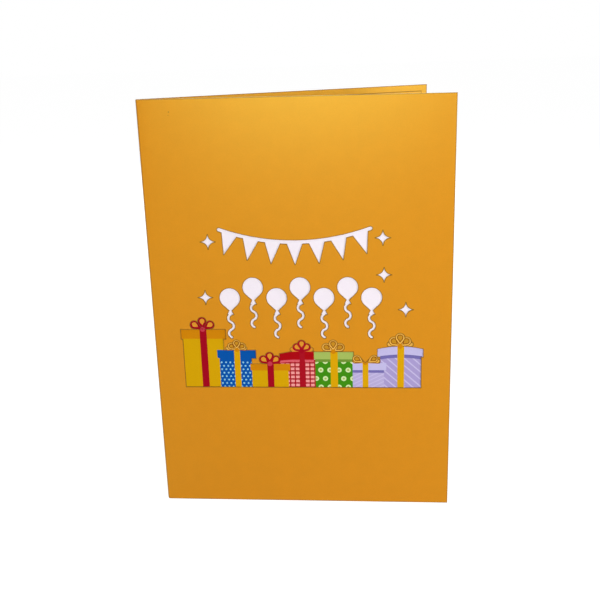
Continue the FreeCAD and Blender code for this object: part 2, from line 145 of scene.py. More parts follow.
class Graph:
    """A node tree, with short ways to add nodes and to join them."""

    def __init__(self, tree: bpy.types.NodeTree) -> None:
        """Start from the tree that the nodes go into."""
        self.nodes, self.links = tree.nodes, tree.links

    def feed(self, socket: bpy.types.NodeSocket, value: object) -> None:
        """Join a socket to another one, or set its own value.

        Args:
            socket: the socket that takes the value.
            value: another node's output, or a number or colour.
        """
        if isinstance(value, bpy.types.NodeSocket):
            self.links.new(value, socket)
        else:
            socket.default_value = value

    def add(self, kind: str, feeds: dict[str | int, object], **options: str) -> bpy.types.Node:
        """Add a node.

        Args:
            kind: its Blender type, without the leading ShaderNode.
            feeds: what goes into its sockets, by their names or numbers.
            options: its own options, such as its operation.

        Returns:
            The new node.
        """
        node = self.nodes.new("ShaderNode" + kind)
        for name, value in options.items():
            setattr(node, name, value)
        for name, value in feeds.items():
            self.feed(node.inputs[name], value)
        return node

    def seen(self) -> bpy.types.NodeSocket:
        """Tell the rays that show the background: from the camera, off gloss and through glass.

        Returns:
            A socket that is 1 for such a ray and 0 for one that only carries light.
        """
        path = self.add("LightPath", {})
        share = path.outputs["Is Camera Ray"]
        for name in ("Is Glossy Ray", "Is Transmission Ray"):
            share = self.add("Math", {0: share, 1: path.outputs[name]}, operation="ADD").outputs[0]
        return share


@dataclass(frozen=True)
class Stock:
    """A paper or card finish: one colour with clouding, fibres and a soft sheen.

    Attributes:
        name: the material's name.
        colour: its sRGB colour.
        cloud: how far the colour drifts over some millimetres.
        grain: how far it drifts from fibre to fibre.
        tooth: height of the surface relief.
        roughness: how dull its sheen is.
        sheen: how strong its reflection is.
        scorched_and_shaded: whether the sheet carries a browning attribute: laser burn round its cuts, and
            painted shade along its fold.
        specks: centres and radii of small dark fibres in the stock.
        index: its refractive index, higher where pearl pigment makes it shimmer.
        glint: sRGB colour of its reflection.
        cloud_scale: how fine the clouding is, per metre.
        grain_scale: how fine the fibres are, per metre.
        detail: octaves of both.
    """

    name: str
    colour: Colour
    cloud: float = 0.035
    grain: float = 0.03
    tooth: float = 0.012 * MM
    roughness: float = 0.6
    sheen: float = 0.4
    scorched_and_shaded: bool = False
    specks: tuple[tuple[Place, float], ...] = ()
    index: float = 1.5
    glint: Colour = (255, 255, 255)
    cloud_scale: float = 170.0
    grain_scale: float = 2600.0
    detail: float = 4.0

    def material(self) -> bpy.types.Material:
        """Build the node material.

        Returns:
            The finished material.
        """
        made = bpy.data.materials.new(self.name)
        made.use_nodes = True
        graph = Graph(made.node_tree)
        place = graph.add("TexCoord", {}).outputs["Object"]
        colour = self._drift(graph, place, linear(self.colour)[:3], self.cloud_scale, self.cloud)
        colour = self._drift(graph, place, colour, self.grain_scale, self.grain)
        for centre, radius in self.specks:
            colour = self._speck(graph, place, colour, centre, radius)
        # Laser burn round the cuts and painted shade along the fold, mixed in by one attribute.
        if self.scorched_and_shaded:
            burn = graph.add("Attribute", {}, attribute_name="scorch").outputs["Fac"]
            colour = self._mix(graph, burn, colour, SCORCH_AND_FOLD_SHADE)
        shader = made.node_tree.nodes["Principled BSDF"]
        finish = {
            "Base Color": colour, "Roughness": self.roughness, "Specular IOR Level": self.sheen,
            "IOR": self.index, "Specular Tint": linear(self.glint), "Normal": self._relief(graph, place),
        }
        for name, value in finish.items():
            graph.feed(shader.inputs[name], value)
        return made

    def _drift(self, graph: Graph, place: object, colour: object, scale: float, amount: float) -> object:
        """Lighten and darken a colour by a noise: colour times (1 - amount) to (1 + amount).

        Args:
            graph: the material's nodes.
            place: where on the object, as a socket.
            colour: the colour so far.
            scale: how fine the noise is, per metre.
            amount: how far the colour moves.

        Returns:
            The new colour's socket.
        """
        noise = graph.add("TexNoise", {"Scale": scale, "Detail": self.detail, "Vector": place})
        spread = graph.add("MapRange", {
            "Value": noise.outputs["Fac"], "From Min": NOISE_SPAN[0], "From Max": NOISE_SPAN[1],
            "To Min": 1.0 - amount, "To Max": 1.0 + amount})
        scaled = graph.add("VectorMath", {0: colour, "Scale": spread.outputs["Result"]}, operation="SCALE")
        return scaled.outputs["Vector"]

    def _speck(self, graph: Graph, place: object, colour: object, centre: Place, radius: float) -> object:
        """Darken a small round spot: most at its centre, not at all at its radius.

        Args:
            graph: the material's nodes.
            place: where on the object, as a socket.
            colour: the colour so far.
            centre: the spot's centre.
            radius: its radius.

        Returns:
            The new colour's socket.
        """
        reach = graph.add("VectorMath", {0: place, 1: centre}, operation="DISTANCE")
        spread = graph.add("MapRange", {
            "Value": reach.outputs["Value"], "From Min": radius * FIBRE_CORE, "From Max": radius,
            "To Min": FIBRE_DEPTH, "To Max": 0.0})
        return self._mix(graph, spread.outputs["Result"], colour, FIBRE)

    def _mix(self, graph: Graph, factor: object, colour: object, other: Colour) -> object:
        """Blend the colour so far towards another, which a factor of 1 gives."""
        feeds = {"Factor": factor, "A": colour, "B": linear(other)}
        return graph.add("Mix", feeds, data_type="RGBA").outputs["Result"]

    def _relief(self, graph: Graph, place: object) -> object:
        """Raise the fibres by a fine noise, as a bump.

        Args:
            graph: the material's nodes.
            place: where on the object, as a socket.

        Returns:
            The bumped normal's socket.
        """
        height = graph.add("TexNoise", {**TOOTH_NOISE, "Vector": place}).outputs["Fac"]
        bump = graph.add("Bump", {"Distance": self.tooth, "Strength": TOOTH_STRENGTH, "Height": height})
        return bump.outputs["Normal"]


# Centres and radii of two fibres that show in the front's card, near its fold.
FIBRES = (((-0.0491, -0.0033, 0.1729), 0.4 * MM), ((-0.0494, -0.0033, 0.1716), 0.3 * MM))
FRONT_CARD = Stock("cover_card", (215, 129, 8), cloud=0.02, roughness=0.3, sheen=0.5, scorched_and_shaded=True,
                   specks=FIBRES, index=1.95, glint=(222, 228, 104))
# The inner faces' colour is painted lighter and yellower than the front's card, as painted light on the
# shaded inside of the cover.
REVERSE_CARD_PAINTED_LIGHT = Stock("cover_reverse", (240, 184, 58), roughness=0.5, sheen=0.12, scorched_and_shaded=True)


def new_piece(name: str, points: np.ndarray, faces: Faces, node: str) -> bpy.types.Object:
    """Make a mesh object in the row frame that rides on the card's one body and stands for a CAD node.

    Args:
        name: the piece's name.
        points: its vertices, one row each.
        faces: its faces as lists of vertex numbers.
        node: the CAD node.

    Returns:
        The new object.
    """
    mesh = bpy.data.meshes.new(name)
    mesh.from_pydata(points.tolist(), [], faces)
    mesh.update()
    piece = bpy.data.objects.new(name, mesh)
    bpy.context.scene.collection.objects.link(piece)
    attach(piece, BODY)
    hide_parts(node)
    return piece


def smoothed(piece: bpy.types.Object) -> None:
    """Shade a piece's gentle bends smooth and keep its corners sharp."""
    piece.data.shade_smooth()
    piece.data.set_sharp_from_angle(angle=SHARP)


def welded(node: str) -> Pair:
    """Copy a CAD node's triangles, with the corners that share a place made one point.

    Args:
        node: the CAD node.

    Returns:
        The points, and the triangles as rows of three numbers.
    """
    mesh = frame["nodes"][node].data
    points = np.empty(len(mesh.vertices) * 3)
    mesh.vertices.foreach_get("co", points)
    mesh.calc_loop_triangles()
    corners = np.empty(len(mesh.loop_triangles) * 3, int)
    mesh.loop_triangles.foreach_get("vertices", corners)
    points, twin = np.unique(points.reshape(-1, 3).round(POINT_DIGITS), axis=0, return_inverse=True)
    faces = twin.ravel()[corners].reshape(-1, 3)
    whole = (faces != np.roll(faces, 1, axis=1)).all(axis=1)
    return points, faces[whole]


@dataclass(frozen=True)
class Fold:
    """How a folded sheet of the card stands: two flat panels joined by a round spine.

    Attributes:
        half_angle: angle of each panel to the XZ plane.
        inner_radius: radius of the sheet's inner face round the spine.
        thickness: thickness of the sheet.
        reach: length of a panel from the spine's centre line to its free edge.
        spine_x: X of that centre line.
        spine_y: its Y.
    """

    half_angle: float
    inner_radius: float
    thickness: float
    reach: float
    spine_x: float
    spine_y: float = 0.0

    @property
    def outer_radius(self) -> float:
        """Radius of the sheet's outer face round the spine."""
        return self.inner_radius + self.thickness

    @property
    def bend(self) -> float:
        """Half the flat length of the spine, along the middle of the sheet."""
        return (math.pi / 2 - self.half_angle) * (self.inner_radius + self.thickness / 2)

    @property
    def far(self) -> float:
        """Half the flat width of the sheet."""
        return self.bend + self.reach

    def place(self, flat: np.ndarray, radius: float) -> np.ndarray:
        """Fold flat points into place.

        A flat point is (q, z), with q counted along the sheet from the middle of the spine, positive
        towards the front's free edge. Within the bend it turns about the spine's centre in proportion
        to q. Past it, it runs along the panel, at the same distance from the panel's centre line.

        Args:
            flat: rows of q and z.
            radius: distance of the face from the spine's centre line.

        Returns:
            Rows of x, y and z.
        """
        q, z = flat[:, 0], flat[:, 1]
        turn = np.clip(q / self.bend, -1.0, 1.0) * (math.pi / 2 - self.half_angle)
        past = np.sign(q) * np.maximum(np.abs(q) - self.bend, 0.0)
        outward_x, outward_y = -np.cos(turn), -np.sin(turn)
        along_x, along_y = -outward_y, outward_x
        x = self.spine_x + radius * outward_x + past * along_x
        y = self.spine_y + radius * outward_y + past * along_y
        return np.stack([x, y, z], axis=1)

    def front_flat(self, points: np.ndarray) -> Pair:
        """Unfold points of the front panel.

        Args:
            points: rows of x, y and z.

        Returns:
            Rows of q and z, and each point's distance from the spine's centre line.
        """
        local = points - np.array([self.spine_x, self.spine_y, 0.0])
        along = np.array([math.cos(self.half_angle), -math.sin(self.half_angle), 0.0])
        outward = np.array([-math.sin(self.half_angle), -math.cos(self.half_angle), 0.0])
        return np.stack([local @ along + self.bend, points[:, 2]], axis=1), local @ outward


@dataclass(frozen=True)
class Card:
    """The driving sizes of the half-open card.

    Attributes:
        half_angle: angle of each cover to the XZ plane.
        width: width of a cover, from the outside of the spine to its free edge.
        fold_radius: radius of the liner's inner face round the spine.
        cover_thickness: thickness of the cover.
        liner_thickness: thickness of the liner.
        print_thickness: thickness of the printed sheet.
        liner_margin: how far the liner stays from the covers' edges.
    """

    half_angle: float = math.radians(10.75)
    width: float = 126.0 * MM
    fold_radius: float = 0.3 * MM
    cover_thickness: float = 0.35 * MM
    liner_thickness: float = 0.25 * MM
    print_thickness: float = 0.12 * MM
    liner_margin: float = 2.6 * MM

    def cover(self) -> Fold:
        """Work out how the cover stands, with the card's depth centred on the origin.

        The spine's outside lies an outer radius before its centre line, and the free edge's inner corner
        lies reach times cosine less inner radius times sine past it.

        Returns:
            The cover's fold.
        """
        inner = self.fold_radius + self.liner_thickness + self.print_thickness / 2
        outer = inner + self.cover_thickness
        reach = self.width - outer
        rise = reach * math.cos(self.half_angle) - inner * math.sin(self.half_angle)
        return Fold(self.half_angle, inner, self.cover_thickness, reach, (outer - rise) / 2)

    def liner(self) -> Fold:
        """Work out how the liner stands, moved back by half the print's thickness across the front.

        Returns:
            The liner's fold.
        """
        cover = self.cover()
        shift = self.print_thickness / (2 * math.cos(self.half_angle))
        reach = cover.reach - self.liner_margin
        return Fold(self.half_angle, self.fold_radius, self.liner_thickness, reach, cover.spine_x, shift)


def inside(points: np.ndarray, starts: np.ndarray, ends: np.ndarray) -> np.ndarray:
    """Say which points lie inside closed outlines, by counting the edges that a ray to +X crosses.

    Args:
        points: rows of two coordinates.
        starts: where each edge of the outlines starts.
        ends: where it ends.

    Returns:
        True for each point with an odd count.
    """
    px, pz = points[:, 0, None], points[:, 1, None]
    spans = (starts[:, 1] > pz) != (ends[:, 1] > pz)
    rise = np.where(ends[:, 1] == starts[:, 1], 1.0, ends[:, 1] - starts[:, 1])
    crossing = starts[:, 0] + (pz - starts[:, 1]) * (ends[:, 0] - starts[:, 0]) / rise
    return (np.count_nonzero(spans & (px < crossing), axis=1) % 2).astype(bool)


def nearest(points: np.ndarray, starts: np.ndarray, ends: np.ndarray) -> np.ndarray:
    """Measure each point's distance to the nearest of many straight edges.

    The foot of the shortest line is the start plus t times the edge, with t held between 0 and 1.

    Args:
        points: rows of two coordinates.
        starts: where each edge starts.
        ends: where it ends.

    Returns:
        One distance for each point, without end where there are no edges.
    """
    if not len(starts):
        return np.full(len(points), np.inf)
    edge = ends - starts
    length = np.maximum((edge * edge).sum(1), TINY)
    found = []
    for block in np.array_split(points, len(points) // BLOCK + 1):
        away = block[:, None, :] - starts[None, :, :]
        t = np.clip((away * edge).sum(2) / length, 0.0, 1.0)
        found.append(np.linalg.norm(away - t[..., None] * edge, axis=2).min(1))
    return np.concatenate(found)


def triangulated(points: np.ndarray, edges: np.ndarray) -> Pair:
    """Fill the plane between points with triangles that keep the given edges.

    Args:
        points: rows of two coordinates.
        edges: pairs of point numbers.

    Returns:
        The points, and the triangles as rows of three numbers that turn anticlockwise.
    """
    found = delaunay_2d_cdt(list(map(Vector, (points / MM).tolist())), edges.tolist(), [], 0, WELD)
    flat = np.array(found[0]) * MM
    faces = np.array(found[2])
    first, second, third = flat[faces[:, 0]], flat[faces[:, 1]], flat[faces[:, 2]]
    area = (second[:, 0] - first[:, 0]) * (third[:, 1] - first[:, 1])
    area -= (third[:, 0] - first[:, 0]) * (second[:, 1] - first[:, 1])
    faces[area < 0] = faces[area < 0][:, ::-1]
    return flat, faces[np.abs(area) > SLIVER]


def trimmed(flat: np.ndarray, faces: np.ndarray, kept: np.ndarray) -> Pair:
    """Keep some of the triangles, and only the points that they use.

    Args:
        flat: rows of two coordinates.
        faces: rows of three point numbers.
        kept: whether each triangle stays.

    Returns:
        The points and triangles that stay.
    """
    used, faces = np.unique(faces[kept], return_inverse=True)
    return flat[used], faces.reshape(-1, 3)


def rim_edges(faces: np.ndarray) -> np.ndarray:
    """Find the directed edges that only one triangle of a set has.

    Args:
        faces: rows of three point numbers.

    Returns:
        Pairs of point numbers.
    """
    edges = faces[:, [0, 1, 1, 2, 2, 0]].reshape(-1, 2)
    twins, counts = np.unique(np.sort(edges, axis=1), axis=0, return_inverse=True, return_counts=True)[1:]
    return edges[counts[twins.ravel()] == 1]


def shell(faces: np.ndarray, count: int) -> Faces:
    """Close a sheet: its outer face, its inner face turned round, and the walls between their rims.

    Args:
        faces: the outer face's triangles.
        count: how many points the outer face has. The inner face's points follow in the same order.

    Returns:
        All the faces as lists of point numbers.
    """
    rim = rim_edges(faces)
    walls = np.stack([rim[:, 1], rim[:, 0], rim[:, 0] + count, rim[:, 1] + count], axis=1)
    return faces.tolist() + (faces[:, ::-1] + count).tolist() + walls.tolist()


def divided(starts: np.ndarray, ends: np.ndarray, step: float) -> Pair:
    """Cut straight edges into pieces no longer than a step.

    Args:
        starts: where each edge starts.
        ends: where it ends.
        step: the longest piece.

    Returns:
        The starts and ends of the pieces.
    """
    counts = np.maximum(np.ceil(np.linalg.norm(ends - starts, axis=1) / step), 1).astype(int)
    owner = np.repeat(np.arange(len(counts)), counts)
    order = np.arange(len(owner)) - np.repeat(np.cumsum(counts) - counts, counts)
    low = (order / counts[owner])[:, None]
    high = ((order + 1) / counts[owner])[:, None]
    run = (ends - starts)[owner]
    return starts[owner] + run * low, starts[owner] + run * high


def rectangle(left: float, right: float, bottom: float, top: float) -> np.ndarray:
    """Return an upright rectangle's corners."""
    return np.array([[left, bottom], [right, bottom], [right, top], [left, top]])


def disc(x: float, z: float, radius: float, sides: int) -> np.ndarray:
    """Return a round outline: centre plus radius times (cosine, sine)."""
    turn = np.arange(sides) * 2 * math.pi / sides
    return np.stack([x + radius * np.cos(turn), z + radius * np.sin(turn)], axis=1)


def drop(point: np.ndarray, centre: np.ndarray, radius: float, sides: int = 22) -> np.ndarray:
    """Return a circle drawn out to a point, with tangent sides.

    The tangents touch the circle where the radius stands square to them, at the angle whose cosine is
    the radius over the distance to the point. The rest of the circle is an arc between those places.

    Args:
        point: the point.
        centre: the circle's centre.
        radius: its radius.
        sides: how many points the arc has.

    Returns:
        The outline.
    """
    away = point - centre
    heading = math.atan2(away[1], away[0])
    spread = math.acos(radius / np.linalg.norm(away))
    turn = np.linspace(heading + spread, heading + 2 * math.pi - spread, sides)
    arc = centre + radius * np.stack([np.cos(turn), np.sin(turn)], axis=1)
    return np.vstack([point, arc])


@dataclass
class FoldedSheet:
    """A sheet folded once round the spine, cut out by a laser and browned along its cuts, with painted shade
    along its fold.

    Attributes:
        name: the piece's name.
        node: the CAD node it stands for.
        fold: how it stands.
        stock: its finish, named as its material slot is.
        inner: the finish of its inner face.
        windowed: whether its front has windows.
        knocked: radius to which the bottom corner of its fold is knocked in.
        burn: how far the browning reaches from a cut.
        edge_burn: how brown its outer edges are, beside its windows.
        painted_fold_shade: how dark the painted shade in the middle of its fold is.
        beside: shares of the burn at which the mesh has a line beside a cut.
        step: spacing of the mesh over the panels.
        cut_step: spacing of the mesh along the windows.
        spine_steps: rows of faces round half the spine.
        corner: the least turn that counts as a corner of a window.
        fade: power of the browning's fall. Below 1 it stays dark longer beside the cut.
        ring_sides: how many mesh points lie round a window's corner.
        clear: share of the burn that is kept clear of points beside a cut.
        face_gap: how near a point of the CAD sheet lies to the outer face if it is on it.
        bend_gap: how near the bend a point still belongs to the panel.
        rim_gap: how far a window stays inside the panel's edges.
    """

    name: str
    node: str
    fold: Fold
    stock: Stock
    inner: Stock
    windowed: bool = False
    knocked: float = 0.0
    burn: float = 0.42 * MM
    edge_burn: float = 0.8
    # Depth of the painted shade along the fold.
    painted_fold_shade: float = 0.5
    beside: Span = (0.35, 1.0)
    step: float = 6.0 * MM
    cut_step: float = 0.9 * MM
    spine_steps: int = 14
    corner: float = math.radians(14)
    fade: float = 0.6
    ring_sides: int = 14
    clear: float = 0.3
    face_gap: float = 0.004 * MM
    bend_gap: float = 0.02 * MM
    rim_gap: float = 0.5 * MM

    def windows(self) -> tuple[np.ndarray, np.ndarray, np.ndarray]:
        """Read the windows' edges from the outer face of the CAD sheet's front panel.

        Returns:
            Starts and ends of the edges, flat, and the corners where an outline turns sharply.
        """
        points, faces = welded(self.node)
        flat, radius = self.fold.front_flat(points)
        close = np.abs(radius - self.fold.outer_radius) < self.face_gap
        on_face = close & (flat[:, 0] > self.fold.bend - self.bend_gap)
        rim = rim_edges(faces[on_face[faces].all(axis=1)])
        low, high = flat[on_face].min(0) + self.rim_gap, flat[on_face].max(0) - self.rim_gap
        rim = rim[((flat[rim] > low) & (flat[rim] < high)).all(axis=(1, 2))]
        starts, ends = flat[rim[:, 0]], flat[rim[:, 1]]
        order = np.argsort(rim[:, 1])
        before = order[np.searchsorted(rim[order, 1], rim[:, 0])]
        run = (ends - starts) / np.linalg.norm(ends - starts, axis=1)[:, None]
        sharp = (run * run[before]).sum(1) < math.cos(self.corner)
        return starts, ends, starts[sharp]

    def build(self) -> bpy.types.Object:
        """Lay the sheet out flat, cut it, fold it and close its edges.

        Returns:
            The finished sheet.
        """
        starts = ends = corners = np.empty((0, 2))
        if self.windowed:
            starts, ends, corners = self.windows()
            starts, ends = divided(starts, ends, self.cut_step)
        flat, faces = self._flat_sheet(starts, ends, corners)
        flat, faces = trimmed(flat, faces, ~inside(flat[faces].mean(axis=1), starts, ends))
        placed = flat + np.stack([np.zeros(len(flat)), self._knock(flat)], axis=1)
        radii = (self.fold.outer_radius, self.fold.inner_radius)
        faced = [self.fold.place(placed, radius) for radius in radii]
        shells = shell(faces, len(flat))
        piece = new_piece(self.name, np.vstack(faced), shells, self.node)
        self._burn_and_shade(piece, flat, starts, ends)
        for stock in (self.stock, self.inner):
            piece.data.materials.append(stock.material())
        side = np.zeros(len(shells), np.int32)
        side[len(faces):2 * len(faces)] = 1
        piece.data.polygons.foreach_set("material_index", side)
        smoothed(piece)
        return piece

    def _height(self) -> Span:
        """Return the heights of the sheet's bottom and top edges."""
        low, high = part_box(self.node)
        return low.z, high.z

    def _lines(self, low: float, high: float, both: bool) -> np.ndarray:
        """Space mesh lines evenly, with more beside the cut ends for the browning.

        Args:
            low: the first line.
            high: the last line.
            both: whether the first line is a cut end too.

        Returns:
            The lines' places.
        """
        even = np.linspace(low, high, int(round((high - low) / self.step)) + 1)
        near = np.array(self.beside) * self.burn
        start = low + near if both else near[:0]
        return np.concatenate([even[:1], start, even[1:-1], high - near[::-1], even[-1:]])

    def _flat_sheet(self, starts: np.ndarray, ends: np.ndarray, corners: np.ndarray) -> Pair:
        """Fill the flat sheet with triangles: a grid, the spine's rows, the cuts and lines beside them.

        Args:
            starts: where each piece of a window's outline starts.
            ends: where it ends.
            corners: the windows' sharp corners.

        Returns:
            The points and triangles.
        """
        columns = self._lines(self.fold.bend, self.fold.far, False)
        spine = np.linspace(-self.fold.bend, self.fold.bend, 2 * self.spine_steps + 1)
        columns = np.concatenate([-columns[:0:-1], spine, columns[1:]])
        rows = self._lines(*self._height(), True)
        grid = np.stack(np.meshgrid(columns, rows, indexing="ij"), axis=2)
        number = np.arange(grid.shape[0] * grid.shape[1]).reshape(grid.shape[:2])
        lanes = np.stack([number[:, :-1], number[:, 1:]], axis=2).reshape(-1, 2)
        rims = np.stack([number[:-1, [0, -1]], number[1:, [0, -1]]], axis=2).reshape(-1, 2)
        grid = grid.reshape(-1, 2)
        lanes = lanes[np.abs(grid[lanes[:, 0], 0]) < self.fold.bend + self.bend_gap]
        cuts = len(grid) + np.arange(2 * len(starts)).reshape(2, -1).T
        close = self._beside_cuts(starts, ends, corners)
        points = np.vstack([grid, starts, ends, close])
        return triangulated(points, np.vstack([lanes, rims, cuts]))

    def _beside_cuts(self, starts: np.ndarray, ends: np.ndarray, corners: np.ndarray) -> np.ndarray:
        """Set points beside the windows' edges and round their corners, where the browning fades.

        Args:
            starts: where each piece of a window's outline starts.
            ends: where it ends.
            corners: the windows' sharp corners.

        Returns:
            The points that don't crowd a cut.
        """
        edge = ends - starts
        length = np.maximum(np.linalg.norm(edge, axis=1), math.sqrt(TINY))
        side = np.stack([-edge[:, 1], edge[:, 0]], axis=1) / length[:, None]
        ring = disc(0.0, 0.0, self.burn, self.ring_sides)
        close = [(starts + ends) / 2 + side * self.burn * share for share in self.beside]
        close += [(corners[:, None] + ring * share).reshape(-1, 2) for share in self.beside]
        close = np.vstack(close)
        return close[nearest(close, starts, ends) > self.clear * self.burn]

    def _knock(self, flat: np.ndarray) -> np.ndarray:
        """Lift the bottom corner of the fold along a quarter circle, less and less up to a mesh step.

        The lift at the bottom is r - sqrt(r squared - (r - |q|) squared) within r of the fold's middle.

        Args:
            flat: rows of q and z.

        Returns:
            How far each point rises.
        """
        short = np.maximum(self.knocked - np.abs(flat[:, 0]), 0.0)
        lift = self.knocked - np.sqrt(self.knocked ** 2 - short ** 2)
        return lift * np.clip(1.0 - (flat[:, 1] - self._height()[0]) / self.step, 0.0, 1.0)

    def _burn_and_shade(self, piece: bpy.types.Object, flat: np.ndarray, starts: np.ndarray, ends: np.ndarray) -> None:
        """Store each point's browning from the cuts and its painted shade from the middle of the fold.

        Beside a window it is (1 - distance over burn) to the power of the fade. Beside the sheet's own edges
        it is that times the edge burn, and on the fold the painted shade falls evenly from its depth to
        nothing.

        Args:
            piece: the folded sheet.
            flat: its points laid flat.
            starts: where each piece of a window's outline starts.
            ends: where it ends.
        """
        low, high = self._height()
        end_gap = np.minimum(flat[:, 1] - low, high - flat[:, 1])
        edge_gap = np.minimum(self.fold.far - np.abs(flat[:, 0]), end_gap)
        near_cut = np.clip(1.0 - nearest(flat, starts, ends) / self.burn, 0.0, 1.0) ** self.fade
        near_edge = np.clip(1.0 - edge_gap / self.burn, 0.0, 1.0) ** self.fade * self.edge_burn
        # Painted shade along the fold, darkest at its middle.
        fold_shade = np.clip(1.0 - np.abs(flat[:, 0]) / self.fold.bend, 0.0, 1.0) * self.painted_fold_shade
        share = np.maximum(np.maximum(near_cut, near_edge), fold_shade)
        layer = piece.data.attributes.new("scorch", "FLOAT", "POINT")
        layer.data.foreach_set("value", np.tile(share, 2).astype(np.float32))


@dataclass(frozen=True)
class Field:
    """One field of ink.

    Attributes:
        outline: its corners, in millimetres from the middle of the row's base line.
        ink: its colour.
        within: left, right, bottom and top of the box beyond which it isn't printed.
    """

    outline: np.ndarray
    ink: Ink
    within: Box = EVERYWHERE


class Marks:
    """What repeats on a gift's wrapping. A plain wrapping has nothing."""

    def fields(self, within: Box, ink: Ink, middle: float) -> list[Field]:
        """Lay out the marks within the wrapping's box, in an ink, from the middle of the ribbon."""
        return []


@dataclass(frozen=True)
class Dots(Marks):
    """Round dots in staggered rows, in millimetres.

    Attributes:
        radius: a dot's radius.
        sides: how many corners its outline has.
        start: the first dot's distance from the wrapping's left edge.
        drop: the first row's distance below the lid.
        pitch: distance from dot to dot.
        row: distance from row to row.
        past: how far the rows run on past the right edge.
        eye: radius of a dot's darker middle, if it has one.
        eye_sides: how many corners that has.
        lowest: height below which no row starts.
    """

    radius: float
    sides: int
    start: float
    drop: float
    pitch: float
    row: float
    past: float = 0.0
    eye: float = 0.0
    eye_sides: int = 10
    lowest: float = -1.5

    def fields(self, within: Box, ink: Ink, middle: float) -> list[Field]:
        """Lay out the dots, every second row moved by half a pitch, then their middles.

        Args:
            within: left, right, bottom and top of the wrapping.
            ink: the dots' colour.
            middle: where the middle of the ribbon is.

        Returns:
            Their fields of ink.
        """
        left, right, _, top = within
        places = [(x, z) for number, z in enumerate(np.arange(top - self.drop, self.lowest, -self.row))
                  for x in np.arange(left + self.start + (number % 2) * self.pitch / 2 - self.pitch,
                                     right + self.past + self.pitch, self.pitch)]
        drawn = [Field(disc(x, z, self.radius, self.sides), ink, within) for x, z in places]
        if self.eye:
            drawn += [Field(disc(x, z, self.eye, self.eye_sides), Ink.LEAF, within) for x, z in places]
        return drawn


@dataclass(frozen=True)
class Checks(Marks):
    """Checks in straight rows and columns, in millimetres.

    Attributes:
        half_width: half a check's width.
        half_height: half its height.
        pitch: distance from column to column, counted from the middle of the ribbon.
        row: distance from row to row.
        first: height of the lowest row.
    """

    half_width: float = 0.78
    half_height: float = 0.6
    pitch: float = 2.12
    row: float = 1.87
    first: float = 0.9

    def fields(self, within: Box, ink: Ink, middle: float) -> list[Field]:
        """Lay out the checks.

        Args:
            within: left, right, bottom and top of the wrapping.
            ink: the checks' colour.
            middle: where the middle of the ribbon is.

        Returns:
            Their fields of ink.
        """
        left, right, _, top = within
        count = round((right - left) / self.pitch)
        wide, tall = self.half_width, self.half_height
        return [Field(rectangle(x - wide, x + wide, z - tall, z + tall), ink, within)
                for x in middle + self.pitch * np.arange(-count, count + 1)
                for z in np.arange(self.first, top, self.row)]


@dataclass(frozen=True)
class Stripes(Marks):
    """Slanted stripes, in millimetres.

    Attributes:
        slope: how far a stripe rises for each millimetre to the right.
        pitch: distance from stripe to stripe, upright.
        width: height of a stripe.
    """

    slope: float
    pitch: float
    width: float

    def fields(self, within: Box, ink: Ink, middle: float) -> list[Field]:
        """Lay out the stripes: parallelograms from the wrapping's left edge to its right.

        Args:
            within: left, right, bottom and top of the wrapping.
            ink: the stripes' colour.
            middle: where the middle of the ribbon is.

        Returns:
            Their fields of ink.
        """
        left, right, low, high = within
        rise = self.slope * (right - left)
        starts = np.arange(low - max(rise, 0.0), high - min(rise, 0.0), self.pitch)
        corners = [[(left, z), (right, z + rise), (right, z + rise + self.width), (left, z + self.width)]
                   for z in starts]
        return [Field(np.array(outline), ink, within) for outline in corners]


class Pattern(Enum):
    """What is printed on a gift's wrapping."""

    PLAIN = Marks()
    SMALL_DOTS = Dots(radius=0.42, sides=10, start=0.8, drop=2.0, pitch=1.87, row=1.6)
    LARGE_DOTS = Dots(radius=1.15, sides=14, start=0.35, drop=0.95, pitch=3.9, row=3.95, past=2.0, eye=0.5)
    CHECKS = Checks()
    RISING = Stripes(slope=0.5, pitch=1.75, width=0.5)
    FALLING = Stripes(slope=-0.9, pitch=3.3, width=0.75)


@dataclass(frozen=True)
class Ribbon:
    """How a bow's ribbon is inked.

    Attributes:
        ground: ink between its loops.
        rings: the rings of a loop, from the outside in: how far each lies inside the loop's radius, as a
            share of it and in millimetres, and its ink.
        tail: ink of a tail's edge, and of the tail.
        knot: ink of the knot.
    """

    ground: Ink
    rings: tuple[tuple[float, float, Ink], ...]
    tail: tuple[Ink, Ink]
    knot: Ink


# Rings of a loop, as Ribbon holds them. The two of a red one get their inks with the ribbon.
RED_RINGS = ((0.0, -BLEED), (0.42, 0.0))
GOLD_RINGS = ((0.0, -BLEED, Ink.LINE), (0.0, 0.0, Ink.HONEY), (0.3, 0.0, Ink.LINE), (0.3, 0.34, Ink.AMBER))


def red_ribbon(ink: Ink, knot: Ink) -> Ribbon:
    """Ink a red ribbon: each loop is one broad ring round the colour of the card.

    Args:
        ink: the ribbon's ink.
        knot: the knot's ink.

    Returns:
        The ribbon.
    """
    rings = tuple((*ring, shown) for ring, shown in zip(RED_RINGS, (ink, Ink.CARD_ORANGE)))
    return Ribbon(ink, rings, (Ink.APRICOT, Ink.CARD_ORANGE), knot)


RIBBONS = {
    Ink.CRIMSON: red_ribbon(Ink.CRIMSON, Ink.ROSE),
    Ink.WINE: red_ribbon(Ink.WINE, Ink.CRIMSON),
    Ink.GOLD: Ribbon(Ink.AMBER, GOLD_RINGS, (Ink.LINE, Ink.HONEY), Ink.OCHRE),
}


